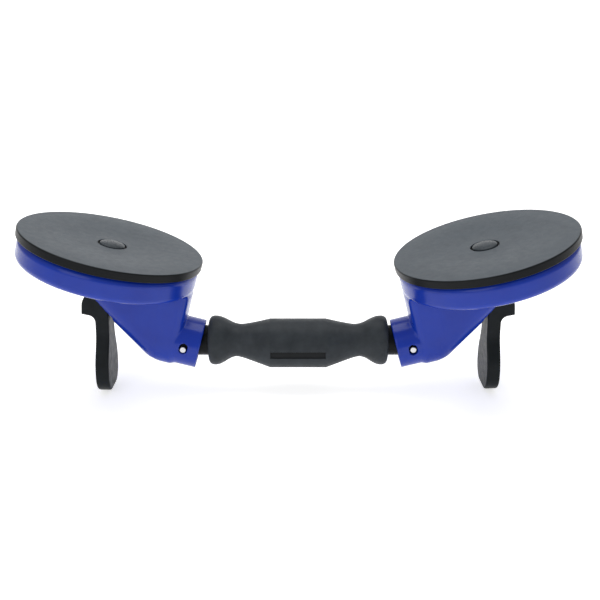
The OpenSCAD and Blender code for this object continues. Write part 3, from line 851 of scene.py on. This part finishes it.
class LIFTER_OT_pads(bpy.types.Operator):
    """Build the two rubber pads"""
    bl_idname = "lifter.pads"
    bl_label = "Rubber pads"

    def execute(self, context):
        """The profile is carried round the pad's axis, and the dish falls along half a cosine.

        The face mask is 1 on the face, where painted sheen lightens the rubber. The held share rises from 0
        to 1 along a smooth step, from the locating ring to the pull plate."""
        sizes = Millimetres(context.scene.lifter.pad)
        base = sizes.face - sizes.rim
        button_r = BUTTON_HIGH[1]
        recess_r = button_r + sizes.groove
        lip_in = sizes.radius - sizes.lip
        ring_gap, stud_hole = 0.3, sizes.hole
        ring_out = CAST_HIGH[0] - HEAD_X - context.scene.lifter.casting.pan_land / MM - ring_gap
        ring_in = ring_out - sizes.ring_width
        dish_in = recess_r + sizes.dish_flat
        face_z = sizes.face - sizes.dish
        t = np.linspace(0, 1, 22)[1:-1]
        fall = sizes.dish * (1 - np.cos(math.pi * t)) / 2
        dish = np.stack([lip_in + (dish_in - lip_in) * t, sizes.face - fall, np.zeros(len(t))], -1)
        profile = rounded([
            [stud_hole, base, 0], [ring_in, base, 0.4], [ring_in, base - sizes.ring, 0.4],
            [ring_out - 0.4, base - sizes.ring, 0.3], [ring_out, base, 0.3], [sizes.radius, base, 0.7],
            [sizes.radius, sizes.face, 0.9], [lip_in, sizes.face, 2.0], *dish,
            [recess_r, face_z, 0.5], [recess_r, BUTTON_LOW[2], 0.2], [stud_hole, BUTTON_LOW[2], 0],
        ])
        points, quads, triangles = spin_grid(profile, 256, closed=True)
        reach = np.hypot(points[:, 0], points[:, 1])
        # Painted sheen: the face's points are marked, and their finish colours them lighter than the rim.
        ground = np.clip((points[:, 2] - face_z + 0.5) / 0.3, 0, 1)
        ground *= np.clip((sizes.radius - 0.35 - reach) / 0.4, 0, 1)
        free_r = ring_in - 2
        held = np.clip((free_r - reach) / (free_r - sizes.clamped), 0, 1)
        held = held * held * (3 - 2 * held)
        for side, head in HEADS.items():
            placed = head.place(points + [HEAD_X, 0, 0])
            obj = make_piece(f"suction_pad_{side}", placed, quads, triangles)
            point_mask(obj, "ground", ground)
            finish_piece(obj, None, [f"rubber_pad_{side}"], "satin_pad_rubber")
            middle, edge = head.place([[HEAD_X, 0, base], [HEAD_X + sizes.radius, 0, base]])
            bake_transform(obj)
            held.astype(np.float32)
        return {"FINISHED"}


class LIFTER_OT_springs(bpy.types.Operator):
    """Build the return springs"""
    bl_idname = "lifter.springs"
    bl_label = "Return springs"

    def execute(self, context):
        """The wire's circle is carried along a helix, which rises evenly as it turns about the stud."""
        sizes = Millimetres(context.scene.lifter.pad)
        turns, sides = sizes.group.turns, 12
        low, top = SPRING_LOW, PULL_LOW[2] - 0.06
        t = np.linspace(0, 1, 48 * turns + 1)[:, None]
        round_wire = np.linspace(0, 2 * math.pi, sides, endpoint=False)[None]
        r = sizes.coil + sizes.wire * np.cos(round_wire)
        height = low + sizes.wire + (top - low - 2 * sizes.wire) * t + sizes.wire * np.sin(round_wire)
        angle = 2 * math.pi * turns * t
        points = np.stack([HEAD_X + r * np.cos(angle), r * np.sin(angle), height], -1)
        quads, caps = grid_quads(len(t), sides, closed=False), end_fans(len(t), sides)
        points = np.concatenate([points.reshape(-1, 3), points[[0, -1]].mean(1)])
        for side, head in HEADS.items():
            obj = make_piece(f"coil_spring_{side}", head.place(points), quads, caps)
            finish_piece(obj, None, [f"return_spring_{side}"],
                         "bright_spring_steel")
            start, end = head.place([[HEAD_X, 0, low], [HEAD_X, 0, top]])
            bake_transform(obj)
        return {"FINISHED"}


class LIFTER_OT_buttons(bpy.types.Operator):
    """Build the domed buttons in the middles of the pads"""
    bl_idname = "lifter.buttons"
    bl_label = "Pad buttons"

    def execute(self, context):
        """The dome is a quarter of an ellipse carried round the pad's axis."""
        radius = float(BUTTON_HIGH[1])
        low, top = float(BUTTON_LOW[2]), float(BUTTON_HIGH[2])
        height = context.scene.lifter.pad.dome / MM
        a = np.linspace(0, math.pi / 2, 24)[1:]
        dome = np.stack([radius * np.sin(a), top - height + height * np.cos(a)], -1)
        wall = rounded([[radius, top - height - 0.2, 0], [radius, low, 0.3], [0, low, 0]])
        profile = np.concatenate([[[0, top]], dome, wall])
        points, quads, triangles = spin_grid(profile, 96, closed=False)
        for side, head in HEADS.items():
            obj = make_piece(f"clamp_button_{side}", head.place(points + [HEAD_X, 0, 0]), quads, triangles)
            finish_piece(obj, f"plunger_{side}", [f"pad_button_{side}"],
                         "satin_button_rubber")
        return {"FINISHED"}


class LIFTER_OT_levers(bpy.types.Operator):
    """Build the two cam levers"""
    bl_idname = "lifter.levers"
    bl_label = "Cam levers"

    def execute(self, context):
        sizes = Millimetres(context.scene.lifter.lever)
        field = lever_field(sizes)
        for side, head in HEADS.items():
            obj = make_field_piece(f"release_lever_{side}", head, field, LEVER_LOW, LEVER_HIGH, sizes.cell)
            finish_piece(obj, f"lever_{side}", [f"cam_lever_{side}"],
                         "grained_lever_plastic")
        return {"FINISHED"}


class LIFTER_OT_plates(bpy.types.Operator):
    """Build the wear plates that the cams bear on"""
    bl_idname = "lifter.plates"
    bl_label = "Wear plates"

    def execute(self, context):
        """Each plate is a box with a round hole, both written as distances."""
        sizes = Millimetres(context.scene.lifter.casting)
        high = np.array([HEAD_X + sizes.plate_length, PLATE_HIGH[1], PLATE_HIGH[2]])
        middle, half = (PLATE_LOW + high) / 2, (high - PLATE_LOW) / 2

        def field(x, y, z):
            box = round_max(slab(x - middle[0], half[0]), slab(y - middle[1], half[1]), 0.4)
            box = np.maximum(box, sizes.plate_hole - np.hypot(x - HEAD_X, y))
            return round_max(box, slab(z - middle[2], half[2]), 0.15)

        for side, head in HEADS.items():
            obj = make_field_piece(f"cam_plate_{side}", head, field, PLATE_LOW, high, 0.4)
            finish_piece(obj, f"head_{side}", [f"wear_plate_{side}"], "bright_steel")
        return {"FINISHED"}


class LIFTER_OT_grip(bpy.types.Operator):
    """Build the moulded grip"""
    bl_idname = "lifter.grip"
    bl_label = "Grip"

    def execute(self, context):
        """The outside's circles go on over each flat end and into its bore, and the two bores are joined.

        Close rows stand at the panel's ends, at the barrel's ends and at the grip's own ends."""
        sizes = Millimetres(context.scene.lifter.grip)
        segments = 288
        beside = np.array([-0.15, 0.15])
        close = np.concatenate([sizes.panel_length / 2 + beside, sizes.barrel + beside,
                                sizes.half - np.array([0.05, 0.12, 0.25])])
        rows = np.unique(np.concatenate([np.linspace(-sizes.half, sizes.half, 261), close, -close]))
        outer, panel = grip_points(sizes, rows, segments)
        angle = np.linspace(0, 2 * math.pi, segments, endpoint=False)
        hole = sizes.bore * np.stack([np.zeros(segments), np.cos(angle), np.sin(angle)], -1)
        rings = []
        for end, edge in ((1, outer[-1]), (-1, outer[0])):
            mouth = hole + [end * sizes.half, 0, 0]
            faces = [edge * (1 - t) + mouth * t for t in (0.06, 0.5, 0.94, 1)]
            rings.append(faces + [hole + [end * (sizes.half - BORE_DEPTH), 0, 0]])
        grid = np.stack([*outer, *rings[0], *rings[1][::-1]])
        obj = make_piece("hand_grip", grid.reshape(-1, 3) * MM, grid_quads(len(grid), segments, closed=True))
        obj.data.set_sharp_from_angle(angle=SHARP)
        # Painted shade: the panel's points are marked, and their finish darkens them as shade in the recess.
        inside = np.zeros(grid.shape[:2])
        inside[:len(panel)] = panel
        point_mask(obj, "panel", inside.ravel())
        finish_piece(obj, "handle", ["grip"], "grained_grip_rubber")
        return {"FINISHED"}


class LIFTER_OT_spigots(bpy.types.Operator):
    """Build the ball spigots and the cross pins"""
    bl_idname = "lifter.spigots"
    bl_label = "Spigots and cross pins"

    def execute(self, context):
        """Each spigot is a ball between its flat end and its neck, carried round the grip's axis."""
        sizes = Millimetres(context.scene.lifter.grip)
        neck_angle, flat = math.asin(sizes.neck / sizes.ball), sizes.ball_flat
        a = np.linspace(math.acos(flat / sizes.ball), math.pi - neck_angle, 40)
        ball = np.stack([sizes.ball * np.sin(a), sizes.ball * np.cos(a)], -1)
        joint_x = float(HEADS["right"].origin[0])
        inner = sizes.half - BORE_DEPTH + 0.1 - joint_x
        neck = rounded([[sizes.neck, ball[-1, 1], 0], [sizes.neck, inner, 0.4], [0, inner, 0]])
        profile = np.concatenate([[[0, flat], [ball[0, 0] / 2, flat]], ball, neck[1:]])
        spun, quads, triangles = spin_grid(profile, 128, closed=False)
        pin_r, pin_half = float(PIN_HIGH[0] - PIN_LOW[0]) / 2, float(PIN_HIGH[1])
        pin_profile = rounded([[0, pin_half, 0], [pin_r, pin_half, 0.5],
                               [pin_r, -pin_half, 0.5], [0, -pin_half, 0]])
        pin, pin_quads, pin_triangles = spin_grid(pin_profile, 48, closed=False)
        for side in SIDES:
            sign = 1 if side == "right" else -1
            turned = np.stack([sign * (joint_x + spun[:, 2]), spun[:, 0], spun[:, 1]], -1)
            obj = make_piece(f"ball_end_{side}", turned * MM, quads, triangles)
            obj.data.set_sharp_from_angle(angle=SHARP)
            finish_piece(obj, "handle", [f"ball_spigot_{side}"],
                         "satin_black_plastic")
            across = np.stack([pin[:, 0] + sign * joint_x, pin[:, 2], pin[:, 1]], -1)
            obj = make_piece(f"swivel_pin_{side}", across * MM, pin_quads, pin_triangles)
            finish_piece(obj, f"pin_{side}", [f"cross_pin_{side}"], "bright_steel")
        return {"FINISHED"}


class LIFTER_OT_inner_parts(bpy.types.Operator):
    """Give the CAD parts that stay their finishes"""
    bl_idname = "lifter.inner_parts"
    bl_label = "Inner parts"

    def execute(self, context):
        for node, obj in frame["nodes"].items():
            if obj.hide_render:
                continue
            obj.data.materials.clear()
            obj.data.materials.append(material("sintered_bronze" if "guide_bush" in node else "bright_steel"))
        return {"FINISHED"}


class LIFTER_OT_stage(bpy.types.Operator):
    """Build the floor, the lights and the camera"""
    bl_idname = "lifter.stage"
    bl_label = "Stage"

    def execute(self, context):
        settings = context.scene.lifter.stage
        colours = context.scene.lifter.colours
        floor_z = CAD_BOX[0][2] - 0.0004
        f = Finish("pale_floor")
        shade = f.spread(f.noise(2, 2), 0, 0.3)
        cloudy = f.blend(shade, rgba(colours.floor), tuple(0.97 * c for c in colours.floor) + (1,))
        floor_finish = f.set(Base_Color=cloudy, Roughness=0.8,
                             Emission_Color=(1, 1, 1, 1), Emission_Strength=settings.glow)
        half = 4.0
        mesh = bpy.data.meshes.new("floor")
        corners = [(-half, -half, floor_z), (half, -half, floor_z), (half, half, floor_z),
                   (-half, half, floor_z), (-half, half, half), (half, half, half)]
        mesh.from_pydata(corners, [], [(0, 1, 2, 3), (3, 2, 5, 4)])
        mesh.materials.append(floor_finish)
        floor = bpy.data.objects.new("floor", mesh)
        context.scene.collection.objects.link(floor)

        world = bpy.data.worlds.new("pale_room")
        world.use_nodes = True
        background = world.node_tree.nodes["Background"].inputs
        background["Color"].default_value = (1, 1, 1, 1)
        background["Strength"].default_value = settings.sky
        context.scene.world = world
        context.scene.view_settings.view_transform = "Standard"
        for name, place, size, power in (
            ("key", (0.0, 0.15, 0.9), (1.2, 0.7), settings.key),
            ("fill", (-0.5, -0.9, 0.5), (0.7, 0.7), settings.fill),
        ):
            light = bpy.data.lights.new(name, "AREA")
            light.shape, light.size, light.size_y, light.energy = "RECTANGLE", size[0], size[1], power
            lamp = bpy.data.objects.new(name, light)
            lamp.location = place
            lamp.rotation_euler = (-Vector(place)).to_track_quat("-Z", "Y").to_euler()
            context.scene.collection.objects.link(lamp)

        e = settings.elevation
        back, up = Vector((0, -math.cos(e), math.sin(e))), Vector((0, math.sin(e), math.cos(e)))
        camera = bpy.data.objects.new("camera", bpy.data.cameras.new("camera"))
        camera.data.lens, camera.data.sensor_width = settings.lens, 36
        camera.data.clip_start = 0.01
        centre = up * settings.centre_up + Vector((settings.centre_x, 0, 0))
        camera.location = centre + back * settings.distance
        camera.rotation_mode = "QUATERNION"
        camera.rotation_quaternion = (-back).to_track_quat("-Z", "Y")
        context.scene.collection.objects.link(camera)
        context.scene.camera = camera
        return {"FINISHED"}


class LIFTER_PT_panel(bpy.types.Panel):
    """Lists the operators in the sidebar"""
    bl_idname = "LIFTER_PT_panel"
    bl_label = "Suction lifter"
    bl_space_type = "VIEW_3D"
    bl_region_type = "UI"
    bl_category = "Lifter"

    def draw(self, context):
        for operator in OPERATORS:
            self.layout.operator(operator.bl_idname)


OPERATORS = (LIFTER_OT_stage, LIFTER_OT_castings, LIFTER_OT_pads, LIFTER_OT_springs, LIFTER_OT_buttons,
             LIFTER_OT_levers, LIFTER_OT_plates, LIFTER_OT_grip, LIFTER_OT_spigots, LIFTER_OT_inner_parts)
CLASSES = (PadSizes, CastingSizes, LeverSizes, GripSizes, LifterColours, StageSettings, LifterProperties,
           *OPERATORS, LIFTER_PT_panel)


def register():
    for cls in CLASSES:
        bpy.utils.register_class(cls)
    bpy.types.Scene.lifter = PointerProperty(type=LifterProperties)


def unregister():
    del bpy.types.Scene.lifter
    for cls in reversed(CLASSES):
        bpy.utils.unregister_class(cls)


def main():
    """Registers the add-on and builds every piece."""
    register()
    for operator in OPERATORS:
        getattr(bpy.ops.lifter, operator.bl_idname.split(".")[1])()


if __name__ == "__main__":
    main()
